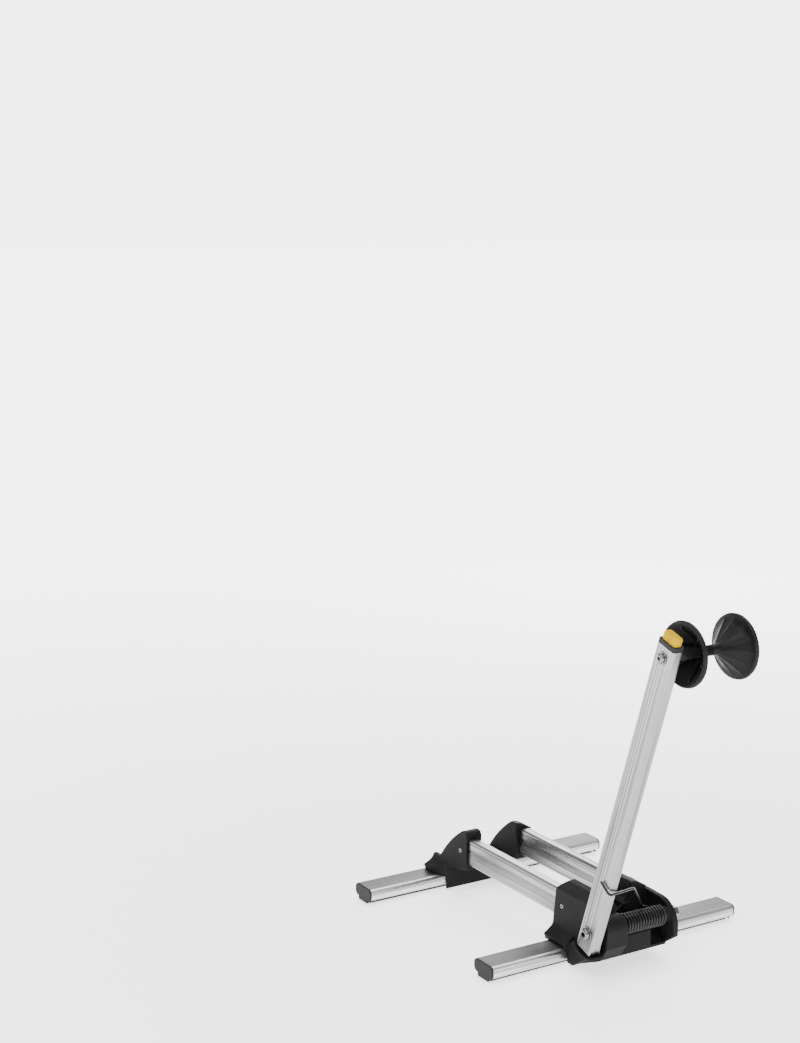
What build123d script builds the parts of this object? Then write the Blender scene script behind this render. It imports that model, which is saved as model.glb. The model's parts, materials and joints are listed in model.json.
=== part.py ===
from build123d import *
import os
from math import atan2, cos, degrees, hypot, radians, sin

os.makedirs("parts", exist_ok=True)

# Frame: millimetres, +Z up, +X to the right and +Y forwards of a bicycle that stands in the stand.
# The origin is on the floor, under the middle of the whole stand's box.

# ---------------------------------------------------------------- driving dimensions
slot_x = -18.5  # middle plane of the wheel slot, left of the middle of the feet

foot_length = 363.0
foot_width = 37.0
foot_top = 21.0
foot_base = 5.6
foot_corner = 5.5
foot_wall = 1.8
foot_flange = 2.5
front_foot_y = 232.0
rear_foot_y = -37.0

pad_width = 17.0
pad_neck = 11.0
pad_key_width = 15.0
pad_key_height = 2.0
pad_lip = 1.4

rail_width = 14.0
rail_height = 34.0
rail_base = 47.0
rail_corner = 3.0
rail_wall = 1.6
rail_offset = 39.6  # from the slot's middle plane to a rail's middle plane
rail_rear_y = -56.0
rail_front_y = 187.0

lug_outer = 50.0  # from the slot's middle plane to a lug's outer face
slot_half = 27.0  # half the width of the wheel trough between the lugs
lug_top = 90.0

pivot_y = -101.8
pivot_z = 58.2
spool_y = -216.4
spool_z = 404.5
arm_lean = degrees(atan2(pivot_y - spool_y, spool_z - pivot_z))
arm_reach = hypot(pivot_y - spool_y, spool_z - pivot_z)
arm_gap = 0.6  # between the swinging arm and the lugs it passes
arm_width = 15.0
arm_depth = 28.0
arm_corner = 3.6
arm_wall = 1.8
arm_below = 23.0  # from the pivot axis down to the tube's lower end
arm_above = 378.0  # from the pivot axis up to the tube's upper end
arm_right_x = slot_x - lug_outer - arm_gap
arm_left_x = arm_right_x - arm_width
arm_x = arm_right_x - arm_width / 2

pivot_bolt_radius = 4.0
spool_bolt_radius = 3.0
running_gap = 0.06
loose_gap = 0.15

spring_radius = 12.5
wire_radius = 1.5
spring_turns = 14
spring_pitch = 4.0

cone_half = 38.5  # from the slot's middle plane to a cone's outer rim
cone_rim_radius = 36.3
cone_neck_radius = 6.3
cone_neck_half = 8.0
cone_facets = 12


def across(x):
    """Plane at x, drawn in (Y, Z), with +X as its normal."""
    return Plane.YZ.offset(x)


def along(y):
    """Plane at y, drawn in (X, Z), with -Y as its normal."""
    return Plane.XZ.offset(-y)


def on_arm(up):
    """Plane across the arm at a height along it, drawn in (X, forwards), with its normal up the arm."""
    lean = radians(arm_lean)
    origin = (arm_x, pivot_y - up * sin(lean), pivot_z + up * cos(lean))
    return Plane(origin=origin, x_dir=(1, 0, 0), z_dir=(0, -sin(lean), cos(lean)))


def arm_side(x):
    """Plane at x, drawn in (forwards, up the arm) from the pivot axis, with +X as its normal."""
    lean = radians(arm_lean)
    return Plane(origin=(x, pivot_y, pivot_z), x_dir=(0, cos(lean), sin(lean)), z_dir=(1, 0, 0))


def rims(part, radius):
    """Circular edges of a part with a given radius, from left to right."""
    circles = part.edges().filter_by(GeomType.CIRCLE)
    return circles.filter_by(lambda edge: abs(edge.radius - radius) < 0.01).sort_by(Axis.X)


def finish(part, name):
    """Label one finished piece and write it."""
    part.label = name
    export_step(part, "parts/" + name + ".step")


# ---------------------------------------------------------------- feet
foot_height = foot_top - foot_base
foot_middle_z = (foot_top + foot_base) / 2
tube_length = foot_length - 2 * foot_flange
key_base_z = foot_base + pad_lip
key_top_z = key_base_z + pad_key_height
bracket_screw_x = (slot_x - 22.0, slot_x + 22.0)
screw_access_radius = 5.2
foot_screw_radius = 2.5

feet = {"front": front_foot_y, "rear": rear_foot_y}
for foot, foot_y in feet.items():
    with BuildPart() as foot_tube:
        with BuildSketch(across(-tube_length / 2)):
            with Locations((foot_y, foot_middle_z)):
                RectangleRounded(foot_width, foot_height, foot_corner)
        extrude(amount=tube_length)
        with BuildSketch(across(-tube_length / 2)):
            with Locations((foot_y, foot_middle_z)):
                RectangleRounded(foot_width - 2 * foot_wall, foot_height - 2 * foot_wall, foot_corner - foot_wall)
        extrude(amount=tube_length, mode=Mode.SUBTRACT)
        # The channel for the pad, with the walls that carry it inside the tube.
        with BuildSketch(across(-tube_length / 2)):
            with Locations((foot_y, (foot_base + key_top_z + pad_lip) / 2)):
                Rectangle(pad_key_width + 2 * pad_lip, key_top_z + pad_lip - foot_base)
        extrude(amount=tube_length)
        with BuildSketch(across(-tube_length / 2)):
            with Locations((foot_y, key_base_z + pad_key_height / 2)):
                Rectangle(pad_key_width, pad_key_height)
            with Locations((foot_y, foot_base)):
                Rectangle(pad_neck, 2 * pad_lip)
        extrude(amount=tube_length, mode=Mode.SUBTRACT)
        # Two fine grooves along the rear upper side.
        for groove_z in (foot_top - 5.2, foot_top - 7.0):
            with BuildSketch(across(-tube_length / 2)):
                with Locations((foot_y - foot_width / 2, groove_z)):
                    Rectangle(0.9, 0.6)
            extrude(amount=tube_length, mode=Mode.SUBTRACT)
        # Bracket screws: access from below, a plain hole in the top wall.
        for screw_x in bracket_screw_x:
            with BuildSketch(Plane.XY.offset(foot_base - 1)):
                with Locations((screw_x, foot_y)):
                    Circle(screw_access_radius)
            extrude(amount=foot_height - foot_wall + 1, mode=Mode.SUBTRACT)
            with BuildSketch(Plane.XY.offset(foot_base)):
                with Locations((screw_x, foot_y)):
                    Circle(foot_screw_radius + loose_gap)
            extrude(amount=foot_height, mode=Mode.SUBTRACT)
    finish(foot_tube.part, foot + "_foot_tube")

    with BuildPart() as foot_pad:
        with BuildSketch(across(-tube_length / 2 + 3.5)):
            with BuildLine():
                Polyline(
                    (foot_y - pad_width / 2, 0.8),
                    (foot_y - pad_width / 2 + 0.8, 0),
                    (foot_y + pad_width / 2 - 0.8, 0),
                    (foot_y + pad_width / 2, 0.8),
                    (foot_y + pad_width / 2, foot_base),
                    (foot_y - pad_width / 2, foot_base),
                    close=True,
                )
            make_face()
            with Locations((foot_y, foot_base + pad_lip / 2)):
                Rectangle(pad_neck - 0.3, pad_lip)
            with Locations((foot_y, key_base_z + pad_key_height / 2 - 0.1)):
                Rectangle(pad_key_width - 0.6, pad_key_height - 0.2)
        extrude(amount=tube_length - 7.0)
    finish(foot_pad.part, foot + "_foot_pad")

    for side, direction in (("left", -1), ("right", 1)):
        end_x = direction * tube_length / 2
        with BuildPart() as foot_cap:
            with BuildSketch(across(end_x)):
                with Locations((foot_y, foot_middle_z)):
                    RectangleRounded(foot_width, foot_height, foot_corner)
                with Locations((foot_y, foot_base - 1.4)):
                    RectangleRounded(pad_width + 5.0, 6.4, 2.0)
            extrude(amount=direction * foot_flange)
            outer_face = foot_cap.faces().sort_by(Axis.X)[-1 if direction > 0 else 0]
            fillet(outer_face.edges(), radius=0.9)
            # The plug inside the tube: two hollow fingers beside the pad channel and a bridge above it.
            with BuildSketch(across(end_x)):
                plug_width = foot_width - 2 * foot_wall - 0.3
                plug_height = foot_height - 2 * foot_wall - 0.3
                with Locations((foot_y, foot_middle_z)):
                    RectangleRounded(plug_width, plug_height, foot_corner - foot_wall)
                with Locations((foot_y, foot_base + 1)):
                    Rectangle(pad_key_width + 2 * pad_lip + 0.4, 8.4, mode=Mode.SUBTRACT)
                with Locations((foot_y, foot_middle_z + 0.4)):
                    RectangleRounded(plug_width - 9, 3.2, 1.0, mode=Mode.SUBTRACT)
            extrude(amount=-direction * 14.0)
        finish(foot_cap.part, foot + "_" + side + "_foot_cap")

# ---------------------------------------------------------------- rails
rail_middle_z = rail_base + rail_height / 2
rail_length = rail_front_y - rail_rear_y
rail_screw_z = 63.0
rail_screw_y = {"rear": rear_foot_y + 5.0, "front": front_foot_y - 50.0}
rail_screw_radius = 1.9
groove_heights = (rail_base + 29.5, rail_base + 20.0, rail_base + 17.6, rail_base + 15.2, rail_base + 12.8)

for side, direction in (("left", -1), ("right", 1)):
    rail_x = slot_x + direction * rail_offset
    with BuildPart() as rail:
        with BuildSketch(along(rail_front_y)):
            with Locations((rail_x, rail_middle_z)):
                RectangleRounded(rail_width, rail_height, rail_corner)
        extrude(amount=rail_length)
        with BuildSketch(along(rail_front_y)):
            with Locations((rail_x, rail_middle_z)):
                RectangleRounded(rail_width - 2 * rail_wall, rail_height - 2 * rail_wall, rail_corner - rail_wall)
        extrude(amount=rail_length, mode=Mode.SUBTRACT)
        for groove_z in groove_heights:
            with BuildSketch(along(rail_front_y)):
                with Locations((rail_x - rail_width / 2, groove_z), (rail_x + rail_width / 2, groove_z)):
                    Rectangle(0.9, 0.8)
            extrude(amount=rail_length, mode=Mode.SUBTRACT)
        for screw_y in rail_screw_y.values():
            with BuildSketch(across(rail_x)):
                with Locations((screw_y, rail_screw_z)):
                    Circle(rail_screw_radius + loose_gap)
            extrude(amount=direction * rail_width, mode=Mode.SUBTRACT)
    finish(rail.part, side + "_rail")

# ---------------------------------------------------------------- bracket features shared by both ends
skirt = 2.2  # thickness of the bracket in front of and behind the foot
skirt_base = 1.6
front_flare_reach = 14.5  # how far the saddle reaches beyond the lug along the foot
rear_flare_reach = 13.0
screw_depth = 11.0
screw_recess = 2.0
screw_recess_radius = 3.6


def saddle_outline(direction, reach):
    """Edges of the saddle's half section over a foot, in (X, Z): the lug's face sweeps out onto the foot."""
    lug_x = slot_x + direction * lug_outer
    inner_x = lug_x - direction * 6.0
    tip_x = lug_x + direction * reach
    with BuildLine() as outline:
        Line((inner_x, 41), (lug_x, 41))
        Spline(
            (lug_x, 41),
            (lug_x + direction * 2.0, 36.0),
            (lug_x + direction * 5.5, 33.0),
            (tip_x - direction * 2.0, 29.5),
            tangents=[(0, -1), (direction, -0.35)],
        )
        ThreePointArc((tip_x - direction * 2.0, 29.5), (tip_x, 27.0), (tip_x - direction * 1.5, 24.0))
        Line((tip_x - direction * 1.5, 24.0), (tip_x - direction * 1.5, foot_top))
        Line((tip_x - direction * 1.5, foot_top), (inner_x, foot_top))
        Line((inner_x, foot_top), (inner_x, 41))
    return outline.edges()


def lug_slope_outline(direction, inner_z, outer_z):
    """Edges of what is cut off the top of a lug, in (X, Z), so that its top falls away outwards."""
    with BuildLine() as outline:
        Polyline(
            (slot_x + direction * (slot_half - 1), lug_top + 6),
            (slot_x + direction * (slot_half - 1), inner_z),
            (slot_x + direction * 36, inner_z - 1.5),
            (slot_x + direction * 49.5, outer_z),
            (slot_x + direction * 58, outer_z - 4.0),
            (slot_x + direction * 58, lug_top + 6),
            close=True,
        )
    return outline.edges()


# ---------------------------------------------------------------- front bracket
front_skirt_y = front_foot_y + foot_width / 2 + skirt
near_skirt_y = front_foot_y - foot_width / 2 - skirt
front_lug_y = 167.0
front_flare_y = front_foot_y + 11.5

with BuildPart() as front_bracket:
    with BuildSketch(across(slot_x - lug_outer)):
        with BuildLine():
            Line((front_lug_y, 41), (front_lug_y, lug_top - 6))
            RadiusArc((front_lug_y, lug_top - 6), (front_lug_y + 6, lug_top), 6)
            Line((front_lug_y + 6, lug_top), (front_lug_y + 11, lug_top))
            ThreePointArc(
                (front_lug_y + 11, lug_top),
                (front_lug_y + 35.0, 71.5),
                (front_lug_y + 65.5, 35.0),
            )
            ThreePointArc(
                (front_lug_y + 65.5, 35.0),
                (front_skirt_y - 8.0, 30.0),
                (front_skirt_y, 24),
            )
            Line((front_skirt_y, 24), (front_skirt_y, skirt_base))
            Line((front_skirt_y, skirt_base), (near_skirt_y, skirt_base))
            Line((near_skirt_y, skirt_base), (near_skirt_y, 33))
            Line((near_skirt_y, 33), (front_lug_y, 41))
        make_face()
    extrude(amount=2 * lug_outer)
    # Saddle flares along the foot, left and right, with their inner corners cut back.
    for direction in (-1, 1):
        with BuildSketch(along(front_flare_y)):
            make_face(saddle_outline(direction, front_flare_reach))
        extrude(amount=front_flare_y - near_skirt_y)
        lug_x = slot_x + direction * lug_outer
        with BuildSketch(Plane.XY):
            with BuildLine():
                Polyline(
                    (lug_x + direction * 1.5, near_skirt_y - 1),
                    (lug_x + direction * (front_flare_reach + 1), near_skirt_y + 17),
                    (lug_x + direction * (front_flare_reach + 1), near_skirt_y - 1),
                    close=True,
                )
            make_face()
        extrude(amount=lug_top, mode=Mode.SUBTRACT)
    # The wheel trough, with a floor that follows the tyre.
    with BuildSketch(across(slot_x - slot_half)):
        with BuildLine():
            Line((front_lug_y - 1, 33), (front_foot_y - 30, 37))
            ThreePointArc((front_foot_y - 30, 37), (front_foot_y - 5, 41.5), (front_skirt_y + 1, 49))
            Line((front_skirt_y + 1, 49), (front_skirt_y + 1, lug_top + 1))
            Line((front_skirt_y + 1, lug_top + 1), (front_lug_y - 1, lug_top + 1))
            Line((front_lug_y - 1, lug_top + 1), (front_lug_y - 1, 33))
        make_face()
    extrude(amount=2 * slot_half, mode=Mode.SUBTRACT)
    # The right lug's top falls away outwards.
    with BuildSketch(along(front_skirt_y + 1)):
        make_face(lug_slope_outline(1, 89.0, 80.5))
    extrude(amount=120, mode=Mode.SUBTRACT)
    # The foot's pocket, open below, and a cored-out space above it.
    with BuildSketch(across(slot_x - lug_outer - front_flare_reach - 1)):
        with Locations((front_foot_y, foot_top / 2)):
            Rectangle(foot_width + 0.4, foot_top)
    extrude(amount=2 * (lug_outer + front_flare_reach + 1), mode=Mode.SUBTRACT)
    with BuildSketch(Plane.XY.offset(foot_top)):
        with Locations((slot_x, front_foot_y)):
            RectangleRounded(32, 28, 3)
    extrude(amount=12, mode=Mode.SUBTRACT)
    # Rail sockets, their screw holes and the screws' recesses.
    for direction in (-1, 1):
        with BuildSketch(along(rail_front_y)):
            with Locations((slot_x + direction * rail_offset, rail_middle_z)):
                RectangleRounded(rail_width, rail_height, rail_corner - 0.6)
        extrude(amount=rail_front_y - front_lug_y + 1, mode=Mode.SUBTRACT)
        with BuildSketch(across(slot_x + direction * lug_outer)):
            with Locations((rail_screw_y["front"], rail_screw_z)):
                Circle(rail_screw_radius + loose_gap)
        extrude(amount=-direction * 5, mode=Mode.SUBTRACT)
        with BuildSketch(across(slot_x + direction * lug_outer)):
            with Locations((rail_screw_y["front"], rail_screw_z)):
                Circle(screw_recess_radius)
        extrude(amount=-direction * screw_recess, mode=Mode.SUBTRACT)
    # Holes for the two screws that come up through the foot.
    with BuildSketch(Plane.XY.offset(foot_top)):
        for screw_x in bracket_screw_x:
            with Locations((screw_x, front_foot_y)):
                Circle(foot_screw_radius + 0.02)
    extrude(amount=screw_depth + 0.5, mode=Mode.SUBTRACT)
finish(front_bracket.part, "front_bracket")

# ---------------------------------------------------------------- rear bracket
rear_lug_y = -20.0
rear_lug_top = 94.0
rear_front_y = rear_foot_y + foot_width / 2 + skirt
rear_back_y = rear_foot_y - foot_width / 2 - skirt
wall_left_x = slot_x + 50.0
wall_right_x = slot_x + 57.0
pillar_left_x = slot_x - 46.4
pillar_right_x = slot_x - 17.0
boss_radius = 14.0
wall_back_y = pivot_y - 14.5
chamber_front_y = -64.0
apron_y = pivot_y - 1.0
apron_z = 21.0
guard_inner = 27.7
guard_outer = 30.7


def guard_point(radius, angle):
    """Point at a radius and an angle round the pivot axis, in (Y, Z)."""
    return (pivot_y + radius * cos(radians(angle)), pivot_z + radius * sin(radians(angle)))


with BuildPart() as rear_bracket:
    # Main block: lugs, trough body and the overhang that carries the pivot.
    with BuildSketch(across(slot_x - lug_outer)):
        with BuildLine():
            Line((rear_front_y, skirt_base), (rear_front_y, 41))
            Line((rear_front_y, 41), (rear_lug_y - 1, 80))
            ThreePointArc(
                (rear_lug_y - 1, 80),
                (rear_lug_y - 6, rear_lug_top - 4),
                (rear_lug_y - 18, rear_lug_top),
            )
            Line((rear_lug_y - 18, rear_lug_top), (pivot_y + 26, rear_lug_top))
            Line((pivot_y + 26, rear_lug_top), (pivot_y + 12, 76))
            Line((pivot_y + 12, 76), (apron_y, 60))
            Line((apron_y, 60), (apron_y, apron_z))
            Line((apron_y, apron_z), (rear_back_y - 9, 5))
            Line((rear_back_y - 9, 5), (rear_back_y - 4, skirt_base))
            Line((rear_back_y - 4, skirt_base), (rear_front_y, skirt_base))
        make_face()
    extrude(amount=lug_outer + (wall_left_x - slot_x))
    # Right wall, with its large rounded corner and slanted foot.
    with BuildSketch(across(wall_left_x)):
        with BuildLine():
            Line((rear_lug_y, 30), (rear_lug_y, 70))
            RadiusArc((rear_lug_y, 70), (rear_lug_y - 7, 77), -7)
            Line((rear_lug_y - 7, 77), (pivot_y + 16, 75))
            RadiusArc((pivot_y + 16, 75), (wall_back_y, 45), -31)
            Line((wall_back_y, 45), (wall_back_y, 34))
            Line((wall_back_y, 34), (pivot_y + 12, 15))
            Line((pivot_y + 12, 15), (rear_back_y, 12))
            Line((rear_back_y, 12), (rear_lug_y, 30))
        make_face()
    extrude(amount=wall_right_x - wall_left_x)
    # Pillar with the pivot's bearing boss.
    with BuildSketch(across(pillar_left_x)):
        with BuildLine():
            Line((apron_y + 20, 66), (pivot_y + 4, pivot_z + boss_radius - 0.6))
            ThreePointArc(
                (pivot_y + 4, pivot_z + boss_radius - 0.6),
                (pivot_y - 9.9, pivot_z + 9.9),
                (pivot_y - boss_radius, pivot_z),
            )
            Line((pivot_y - boss_radius, pivot_z), (pivot_y - boss_radius + 2, 38))
            Line((pivot_y - boss_radius + 2, 38), (apron_y - 1, apron_z + 2))
            Line((apron_y - 1, apron_z + 2), (apron_y + 20, apron_z + 2))
            Line((apron_y + 20, apron_z + 2), (apron_y + 20, 66))
        make_face()
    extrude(amount=pillar_right_x - pillar_left_x)
    # Saddle flares along the foot, left and right.
    for direction in (-1, 1):
        with BuildSketch(along(rear_front_y)):
            make_face(saddle_outline(direction, rear_flare_reach))
        extrude(amount=rear_front_y - rear_back_y)
    # Guard under the arm's lower end: a web out to the side and a curved lip round the pivot.
    with BuildSketch(across(slot_x - lug_outer + 1)):
        with BuildLine():
            Line(guard_point(guard_inner, -38), guard_point(guard_outer, -38))
            Line(guard_point(guard_outer, -38), (rear_back_y + 2, 27))
            Line((rear_back_y + 2, 27), (rear_back_y + 2, 4))
            Line((rear_back_y + 2, 4), (rear_back_y - 8, 4))
            Line((rear_back_y - 8, 4), guard_point(guard_outer + 2, -84))
            Line(guard_point(guard_outer + 2, -84), guard_point(guard_inner, -84))
            ThreePointArc(
                guard_point(guard_inner, -84),
                guard_point(guard_inner, -61),
                guard_point(guard_inner, -38),
            )
        make_face()
    extrude(amount=-9.0)
    with BuildSketch(across(slot_x - lug_outer + 1)):
        with BuildLine():
            ThreePointArc(
                guard_point(guard_inner, -36),
                guard_point(guard_inner, -75),
                guard_point(guard_inner, -114),
            )
            Line(guard_point(guard_inner, -114), guard_point(guard_outer, -114))
            ThreePointArc(
                guard_point(guard_outer, -114),
                guard_point(guard_outer, -75),
                guard_point(guard_outer, -36),
            )
            Line(guard_point(guard_outer, -36), guard_point(guard_inner, -36))
        make_face()
    extrude(amount=-19.5)
    # The wheel trough: rounded across, highest where the tyre rests, open at the back.
    with BuildSketch(along(rear_front_y + 1)):
        with BuildLine():
            Line((slot_x - slot_half, rear_lug_top + 1), (slot_x - slot_half, 76))
            Spline(
                (slot_x - slot_half, 76),
                (slot_x - 12, 64.5),
                (slot_x, 63.0),
                (slot_x + 12, 64.5),
                (slot_x + slot_half, 76),
                tangents=[(0, -1), (0, 1)],
            )
            Line((slot_x + slot_half, 76), (slot_x + slot_half, rear_lug_top + 1))
            Line((slot_x + slot_half, rear_lug_top + 1), (slot_x - slot_half, rear_lug_top + 1))
        make_face()
    extrude(amount=60, mode=Mode.SUBTRACT)
    with BuildSketch(across(slot_x - 17)):
        with BuildLine():
            Polyline(
                (rear_foot_y - 4, 66),
                (rear_foot_y - 4, 61),
                (chamber_front_y - 1, 52),
                (chamber_front_y - 1, 66),
                close=True,
            )
        make_face()
    extrude(amount=34, mode=Mode.SUBTRACT)
    # The lugs' tops fall away outwards.
    with BuildSketch(along(rear_front_y + 1)):
        make_face(lug_slope_outline(1, 89.0, 80.5))
        make_face(lug_slope_outline(-1, 91.5, 83.5))
    extrude(amount=120, mode=Mode.SUBTRACT)
    # The spring's chamber: open above and behind, with a round bed under the coil.
    with BuildSketch(across(pillar_right_x)):
        with Locations((pivot_y, pivot_z)):
            Circle(spring_radius + 1.8)
        with BuildLine():
            Polyline(
                (pivot_y - 20, pivot_z),
                (pivot_y - 20, rear_lug_top + 2),
                (chamber_front_y, rear_lug_top + 2),
                (chamber_front_y, 47),
                (pivot_y + 11, 47),
                (pivot_y + 11, pivot_z),
                close=True,
            )
        make_face()
    extrude(amount=wall_left_x - pillar_right_x, mode=Mode.SUBTRACT)
    # Slot in the bed for the spring's fixed leg.
    with BuildSketch(Plane.XY.offset(30)):
        with Locations((pillar_right_x + 2.4, pivot_y + spring_radius - wire_radius)):
            RectangleRounded(4.0, 4.4, 1.5)
    extrude(amount=30, mode=Mode.SUBTRACT)
    # Deep recess to the right of the apron.
    with BuildSketch(across(slot_x + 27)):
        with BuildLine():
            Polyline(
                (pivot_y - 20, 26),
                (pivot_y - 20, pivot_z),
                (pivot_y + 20, pivot_z),
                (pivot_y + 20, 30),
                (pivot_y + 6, 24),
                close=True,
            )
        make_face()
    extrude(amount=23.0, mode=Mode.SUBTRACT)
    # Support boss for the bolt's far end, on the right wall.
    with BuildSketch(across(slot_x + 43.6)):
        with Locations((pivot_y, pivot_z)):
            Circle(8.5)
    extrude(amount=wall_left_x - slot_x - 43.6)
    # Pivot bore from the lug to the right wall, and the nut's recess.
    with BuildSketch(across(slot_x - lug_outer)):
        with Locations((pivot_y, pivot_z)):
            Circle(6.0)
    extrude(amount=lug_outer - 17.0, mode=Mode.SUBTRACT)
    with BuildSketch(across(slot_x + 40)):
        with Locations((pivot_y, pivot_z)):
            Circle(pivot_bolt_radius + loose_gap)
    extrude(amount=30, mode=Mode.SUBTRACT)
    # The foot's pocket, open below, a cored-out space above it and three cells under the overhang.
    with BuildSketch(across(slot_x - lug_outer - rear_flare_reach - 1)):
        with Locations((rear_foot_y, foot_top / 2)):
            Rectangle(foot_width + 0.4, foot_top)
    extrude(amount=2 * (lug_outer + rear_flare_reach + 1), mode=Mode.SUBTRACT)
    with BuildSketch(Plane.XY.offset(foot_top)):
        with Locations((slot_x, rear_foot_y)):
            RectangleRounded(32, 28, 3)
    extrude(amount=32, mode=Mode.SUBTRACT)
    with BuildSketch(Plane.XY):
        with Locations((slot_x, (chamber_front_y + apron_y) / 2 + 1)):
            with GridLocations(24, 1, 3, 1):
                RectangleRounded(20, 31, 2)
    extrude(amount=39, mode=Mode.SUBTRACT)
    # Rail sockets, their screw holes and the screws' recesses.
    for direction in (-1, 1):
        with BuildSketch(along(rear_front_y + 1)):
            with Locations((slot_x + direction * rail_offset, rail_middle_z)):
                RectangleRounded(rail_width, rail_height, rail_corner - 0.6)
        extrude(amount=rear_front_y + 1 - rail_rear_y, mode=Mode.SUBTRACT)
    for direction, outer_x in ((-1, slot_x - lug_outer), (1, wall_right_x)):
        seat_x = slot_x + direction * (lug_outer - screw_recess)
        with BuildSketch(across(seat_x)):
            with Locations((rail_screw_y["rear"], rail_screw_z)):
                Circle(rail_screw_radius + loose_gap)
        extrude(amount=-direction * 5, mode=Mode.SUBTRACT)
        with BuildSketch(across(seat_x)):
            with Locations((rail_screw_y["rear"], rail_screw_z)):
                Circle(screw_recess_radius)
        extrude(amount=outer_x - seat_x, mode=Mode.SUBTRACT)
    # Holes for the two screws that come up through the foot.
    with BuildSketch(Plane.XY.offset(foot_top)):
        for screw_x in bracket_screw_x:
            with Locations((screw_x, rear_foot_y)):
                Circle(foot_screw_radius + 0.02)
    extrude(amount=screw_depth + 0.5, mode=Mode.SUBTRACT)
finish(rear_bracket.part, "rear_bracket")

# ---------------------------------------------------------------- bracket fasteners
with BuildPart() as rail_screws:
    for direction in (-1, 1):
        seat_x = slot_x + direction * (lug_outer - screw_recess)
        for screw_y in rail_screw_y.values():
            with BuildSketch(across(seat_x)):
                with Locations((screw_y, rail_screw_z)):
                    Circle(3.1)
            extrude(amount=direction * 1.7)
            with BuildSketch(across(seat_x)):
                with Locations((screw_y, rail_screw_z)):
                    Circle(rail_screw_radius)
            extrude(amount=-direction * 6.5)
            with BuildSketch(across(seat_x + direction * 1.7)):
                with Locations((screw_y, rail_screw_z)):
                    RegularPolygon(1.5, 6)
            extrude(amount=-direction * 1.1, mode=Mode.SUBTRACT)
    outer_rims = [rim for rim in rims(rail_screws, 3.1) if abs(rim.center().X - slot_x) > lug_outer - 1]
    fillet(outer_rims, radius=0.8)
finish(rail_screws.part, "rail_screws")

with BuildPart() as foot_screws:
    seat_z = foot_top - foot_wall
    for foot_y in feet.values():
        for screw_x in bracket_screw_x:
            with BuildSketch(Plane.XY.offset(seat_z)):
                with Locations((screw_x, foot_y)):
                    Circle(4.5)
            extrude(amount=-2.6)
            with BuildSketch(Plane.XY.offset(seat_z)):
                with Locations((screw_x, foot_y)):
                    Circle(foot_screw_radius)
            extrude(amount=foot_wall + screw_depth)
            with BuildSketch(Plane.XY.offset(seat_z - 2.6)):
                with Locations((screw_x, foot_y)):
                    RegularPolygon(2.0, 6)
            extrude(amount=1.6, mode=Mode.SUBTRACT)
finish(foot_screws.part, "foot_screws")

# ---------------------------------------------------------------- pivot
pivot_bush_radius = 6.0
washer_gap = 0.1
washer_thickness = 1.4
pivot_head_height = 4.2
nut_height = 6.5
pivot_washer_x = arm_left_x - washer_gap - washer_thickness
boss_left_x = slot_x + 43.6

with BuildPart() as pivot_bolt:
    with BuildSketch(across(pivot_washer_x)):
        with Locations((pivot_y, pivot_z)):
            Circle(pivot_bolt_radius)
    extrude(amount=wall_right_x + nut_height + 1.5 - pivot_washer_x)
    with BuildSketch(across(pivot_washer_x)):
        with Locations((pivot_y, pivot_z)):
            Circle(6.8)
    extrude(amount=-pivot_head_height)
    fillet(rims(pivot_bolt, 6.8)[0], radius=3.0)
    with BuildSketch(across(pivot_washer_x - pivot_head_height)):
        with Locations((pivot_y, pivot_z)):
            RegularPolygon(2.9, 6)
    extrude(amount=2.6, mode=Mode.SUBTRACT)
    chamfer(rims(pivot_bolt, pivot_bolt_radius)[-1], length=0.8)
finish(pivot_bolt.part, "pivot_bolt")

with BuildPart() as pivot_washer:
    with BuildSketch(across(pivot_washer_x)):
        with Locations((pivot_y, pivot_z)):
            Circle(8.6)
            Circle(pivot_bolt_radius + loose_gap, mode=Mode.SUBTRACT)
    extrude(amount=washer_thickness)
    fillet(rims(pivot_washer, 8.6)[0], radius=0.5)
finish(pivot_washer.part, "pivot_washer")

with BuildPart() as pivot_bush:
    with BuildSketch(across(slot_x - lug_outer)):
        with Locations((pivot_y, pivot_z)):
            Circle(pivot_bush_radius)
            Circle(pivot_bolt_radius + running_gap, mode=Mode.SUBTRACT)
    extrude(amount=pillar_right_x - (slot_x - lug_outer))
finish(pivot_bush.part, "pivot_bush")

with BuildPart() as spring_arbor:
    with BuildSketch(across(pillar_right_x)):
        with Locations((pivot_y, pivot_z)):
            Circle(8.6)
            Circle(pivot_bolt_radius + loose_gap, mode=Mode.SUBTRACT)
    extrude(amount=boss_left_x - pillar_right_x)
finish(spring_arbor.part, "spring_arbor")

with BuildPart() as pivot_nut:
    with BuildSketch(across(wall_right_x)):
        with Locations((pivot_y, pivot_z)):
            RegularPolygon(7.5, 6)
            Circle(pivot_bolt_radius, mode=Mode.SUBTRACT)
    extrude(amount=nut_height)
finish(pivot_nut.part, "pivot_nut")

# The spring: a coil round the pivot axis, a short leg down into the bracket and a long leg up to the arm.
coil_radius = spring_radius - wire_radius
coil_length = spring_turns * spring_pitch
coil_left_x = pillar_right_x + 2.4
coil_right_x = coil_left_x + coil_length
hook_points = (
    (coil_right_x, pivot_y + coil_radius, pivot_z),
    (coil_right_x - 1.0, pivot_y + coil_radius, pivot_z + 5.0),
    (slot_x + 20.0, pivot_y + coil_radius - 3.0, pivot_z + 12.5),
    (slot_x - 22.0, pivot_y - 27.2, pivot_z + 54.6),
    (arm_left_x - 2.3, pivot_y - 41.2, pivot_z + 59.8),
    (arm_left_x - 2.3, pivot_y - 26.0, pivot_z + 71.0),
)
hook_radii = (4.0, 8.0, 5.0, 4.0)
axis_plane = Plane(origin=(coil_left_x, pivot_y, pivot_z), x_dir=(0, 1, 0), z_dir=(1, 0, 0))

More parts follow.
